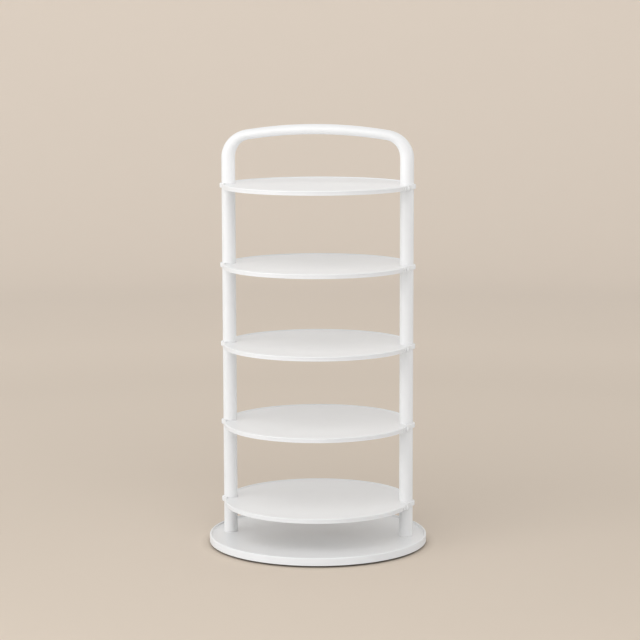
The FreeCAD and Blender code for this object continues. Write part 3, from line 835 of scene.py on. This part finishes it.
def knobShell():
    # Rings round the screw's axis, from the socket's floor out over the dome and back under the
    # head. Inside, the rings are hexagons; they turn to circles as they spread over the dome.
    radius, top, edge = knob["radius"], knob["edgeHeight"] + knob["domeHeight"], knob["socketEdge"]
    sphere = (radius ** 2 + knob["domeHeight"] ** 2) / (2 * knob["domeHeight"])
    angles = fullTurn(knob["around"])
    sixth = math.pi / 3
    hexagon = knob["socketFlats"] / 2 / np.cos((angles + sixth / 2) % sixth - sixth / 2)

    def domeHeight(distance):
        return top - sphere + np.sqrt(sphere ** 2 - distance ** 2)

    # the socket's floor, its foot, its wall and its chamfered mouth
    seat = top - knob["socketDepth"]
    socketRadius = np.array([0, 0.8, 0.97, 1, 1, 1])[:, None] * hexagon
    socketHeight = np.array([seat, seat, seat, seat + 0.05 * millimetre, top - 1.2 * edge, top - edge])
    spread = np.linspace(0, 1, knob["spreadSteps"])[:, None]
    ringRadius = knob["roundFrom"] * radius
    opening = (hexagon + edge) * (1 - spread) + ringRadius * spread
    domeEnd = knob["domeEnd"] * radius
    domeRadius = np.linspace(ringRadius, domeEnd, knob["domeSteps"] + 1)[1:, None] + 0 * angles
    rimStart = knob["rimStart"] * radius
    rim = roundedLine([
        (rimStart, domeHeight(rimStart), 0),
        (radius, knob["edgeHeight"], knob["edgeRound"]),
        (radius, knob["neckHeight"], knob["underRound"]),
        (knob["neckRadius"], knob["neckHeight"], knob["neckRound"]),
        (knob["neckRadius"], -knob["sunk"], 0),
    ], knob["arcSteps"])
    rings = np.vstack([socketRadius, opening, domeRadius, rim[:, 0, None] + 0 * angles, 0 * angles])
    heights = np.vstack([socketHeight[:, None] + 0 * angles, domeHeight(opening), domeHeight(domeRadius),
                         rim[:, 1, None] + 0 * angles, rim[-1, 1] + 0 * angles])
    grid = np.stack([tray["radius"] + heights, rings * np.cos(angles), rings * np.sin(angles)], axis=-1)
    return atHeight(aboutAxis(grid, knob["angle"]), -knob["level"])


def buildKnobs():
    shell = knobShell()
    shells = [(atHeight(aboutAxis(shell, turn), top), True, False)
              for top in trayTops() for turn in sides.values()]
    towerPiece("clampScrews", shells, "white_moulding", "band_knobs")


buildKnobs()
print("clamp screws built")


# Zinc plate, turned alloy, bearing steel, nylon and rubber for what the pan hides.
zinc = {
    "light": (0.66, 0.67, 0.67), "dark": (0.5, 0.51, 0.53),
    "glossy": 0.25, "matt": 0.45, "metallic": 1,
    "shadeScale": 160, "sheenScale": 420, "octaves": (5, 4, 3),
    "reliefScale": 1400, "reliefDepth": 0.012 * millimetre,
}
alloy = {
    "light": (0.74, 0.75, 0.76), "dark": (0.62, 0.63, 0.64),
    "glossy": 0.22, "matt": 0.4, "metallic": 1,
    "shadeScale": 40, "sheenScale": 120, "octaves": (5, 4, 3),
    "reliefScale": 1800, "reliefDepth": 0.004 * millimetre,
    "grooveScale": 2400, "grooveDepth": 0.01 * millimetre, "grooveOctaves": 3,
}
steel = {
    "light": (0.72, 0.72, 0.73), "dark": (0.6, 0.6, 0.61),
    "glossy": 0.06, "matt": 0.14, "metallic": 1,
    "shadeScale": 300, "sheenScale": 900, "octaves": (5, 4, 3),
    "reliefScale": 5000, "reliefDepth": 0.001 * millimetre,
}
nylon = {
    "light": (0.8, 0.77, 0.7), "dark": (0.72, 0.69, 0.61),
    "glossy": 0.42, "matt": 0.55, "metallic": 0,
    "shadeScale": 80, "sheenScale": 260, "octaves": (5, 4, 3),
    "reliefScale": 1200, "reliefDepth": 0.02 * millimetre,
}
rubber = {
    "light": (0.035, 0.035, 0.035), "dark": (0.018, 0.018, 0.019),
    "glossy": 0.6, "matt": 0.8, "metallic": 0,
    "shadeScale": 130, "sheenScale": 500, "octaves": (5, 4, 3),
    "reliefScale": 900, "reliefDepth": 0.06 * millimetre,
}


def turnedAlloy():
    # Fine rings about the turning axis, from noise read along the distance to that axis.
    material = finish("turnedAlloy", alloy)
    grooves = addNode(material, "ShaderNodeTexNoise", {"noise_dimensions": "1D"},
                      W=distanceToAxis(material), Scale=alloy["grooveScale"], Detail=alloy["grooveOctaves"])
    roughen(material, grooves.outputs["Fac"], alloy["grooveDepth"])
    return material


def dressCad():
    finishes["zinc_plate"] = finish("zincPlate", zinc)
    finishes["ring_alloy"] = turnedAlloy()
    finishes["bearing_steel"] = finish("bearingSteel", steel)
    finishes["cage_nylon"] = finish("cageNylon", nylon)
    finishes["foot_rubber"] = finish("footRubber", rubber)
    for part in frame["record"]["subparts"]:
        materials = frame["nodes"][part["node"]].data.materials
        materials.clear()
        materials.append(finishes[part["material_slot"]])


dressCad()
print("hidden pieces dressed")


# A seamless sweep all round: a level floor that curves up into a wall, in warm pale paper.
studio = {
    "floorRadius": 3.7,
    "bend": 1.6,
    "wallHeight": 1.7,
    "around": 160,
    "bendSteps": 32,
    "floorRings": 10,
    "reach": 5.6,                       # metres that the tones span
    # The first two stops paint a dark shadow onto the paper under the base, out to its edge.
    "tones": [
        (0.0, (0.3, 0.235, 0.165)),     # painted shadow, where the base stands
        (0.034, (0.3, 0.235, 0.165)),
        # The stops further out paint shade and light over the paper's warm pale colour: darker near the
        # tower, lighter towards the bend, a little darker again at the wall's top.
        (0.0357, (0.79, 0.684, 0.576)),
        (0.1, (0.785, 0.68, 0.571)),
        (0.3, (0.842, 0.731, 0.616)),
        (0.45, (0.91, 0.791, 0.669)),
        (0.7, (0.935, 0.815, 0.695)),
        (1.0, (0.885, 0.772, 0.661)),
    ],
    "paintedSideShadeReach": 3.0,                   # metres to each side
    "paintedSideShade": (1.03, 0.97),               # painted light on the left and painted shade on the right
    "bounce": (0.765, 0.76, 0.75),      # what the paper is to the light that it throws back
    "roughness": 0.9,
    "specular": 0.1,
}


def studioPaper():
    # The tone goes with the distance from the axis: a painted shadow under the base, then painted
    # shade and light over the sweep. Across the sweep it is painted lighter on the left and darker on
    # the right, as shade. Light that the paper throws onto the tower has the plainer bounce colour.
    material = newMaterial("studioPaper")
    share = mathNode(material, "ShaderNodeMath", "DIVIDE", distanceToAxis(material), studio["reach"])
    ramp = addNode(material, "ShaderNodeValToRGB", Fac=share.outputs["Value"])
    ramp.color_ramp.interpolation = "EASE"
    stops = ramp.color_ramp.elements
    for tone in studio["tones"][1:-1]:
        stops.new(tone[0])
    for stop, (position, colour) in zip(stops, studio["tones"]):
        stop.position = position
        stop.color = (*colour, 1)
    # Painted light on the left and painted shade on the right: the tone is scaled from the first of the pair
    # to the second across the sweep.
    aside = addNode(material, "ShaderNodeSeparateXYZ", Vector=objectPlace(material)).outputs["X"]
    left, right = studio["paintedSideShade"]
    paintedSideShade = addNode(material, "ShaderNodeMapRange", Value=aside, From_Min=-studio["paintedSideShadeReach"],
                   From_Max=studio["paintedSideShadeReach"], To_Min=left, To_Max=right)
    sideShaded = addNode(material, "ShaderNodeVectorMath", {"operation": "SCALE"},
                    Vector=ramp.outputs["Color"], Scale=paintedSideShade.outputs["Result"])
    rays = addNode(material, "ShaderNodeLightPath").outputs
    seen = mathNode(material, "ShaderNodeMath", "ADD", rays["Is Camera Ray"], rays["Is Glossy Ray"])
    through = mathNode(material, "ShaderNodeMath", "ADD", seen.outputs["Value"], rays["Is Transmission Ray"])
    mix = addNode(material, "ShaderNodeMix", {"data_type": "RGBA"})
    amount, bounced, shown = (mix.inputs[place] for place in (0, 6, 7))      # of a mix of colours
    setSocket(material, amount, through.outputs["Value"])
    setSocket(material, bounced, (*studio["bounce"], 1))
    setSocket(material, shown, sideShaded.outputs["Vector"])
    shader = shaderOf(material)
    setSocket(material, shader.inputs["Base Color"], mix.outputs[2])
    shader.inputs["Roughness"].default_value = studio["roughness"]
    shader.inputs["Specular IOR Level"].default_value = studio["specular"]
    return material


def buildStudio():
    # Half the sweep's section, with rings across the flat floor, turned about the axis.
    radius = studio["floorRadius"] + studio["bend"]
    line = roundedLine([
        (0, 0, 0),
        (radius, 0, studio["bend"]),
        (radius, studio["wallHeight"], 0),
    ], studio["bendSteps"])
    rings = np.linspace(0, 1, studio["floorRings"] + 2)[1:-1, None] * line[1]
    line = np.vstack([line[:1], rings, line[1:]])
    sweep = turnedGrid(line, fullTurn(studio["around"]))
    addPiece("studioSweep", [(sweep, True, False)], studioPaper())


# A soft lamp low at the front left, a broad one high in front, and a white sky that is brighter
# towards the horizon.
lamps = {
    "key": {"place": (-3.6, -2.5, 0.86), "wide": 2.0, "tall": 1.2, "power": 35},
    "front": {"place": (-0.2, -2.0, 2.7), "wide": 3.8, "tall": 1.7, "power": 26.5},
}
lampAim = (0, 0, 0.4)
sky = {"horizon": 1.3, "zenith": 0.4}


def hangLamps():
    for name, look in lamps.items():
        data = bpy.data.lights.new(name, "AREA")
        data.shape = "RECTANGLE"
        data.size = look["wide"]
        data.size_y = look["tall"]
        data.energy = look["power"]
        lamp = bpy.data.objects.new(name, data)
        lamp.location = look["place"]
        towards = Vector(lampAim) - Vector(look["place"])
        lamp.rotation_euler = towards.to_track_quat("-Z", "Y").to_euler()
        lamp.visible_camera = False
        bpy.context.scene.collection.objects.link(lamp)


def lightSky():
    # The strength goes evenly from the horizon's to the zenith's with the height looked at.
    world = bpy.data.worlds.new("sky")
    world.use_nodes = True
    direction = addNode(world, "ShaderNodeTexCoord").outputs["Generated"]
    height = addNode(world, "ShaderNodeSeparateXYZ", Vector=direction).outputs["Z"]
    strength = addNode(world, "ShaderNodeMapRange", Value=height, To_Min=sky["horizon"], To_Max=sky["zenith"])
    background = world.node_tree.nodes["Background"]
    background.inputs["Color"].default_value = (1, 1, 1, 1)
    setSocket(world, background.inputs["Strength"], strength.outputs["Result"])
    bpy.context.scene.world = world


buildStudio()
hangLamps()
lightSky()
bpy.context.scene.view_settings.view_transform = "Standard"
print("studio lit")
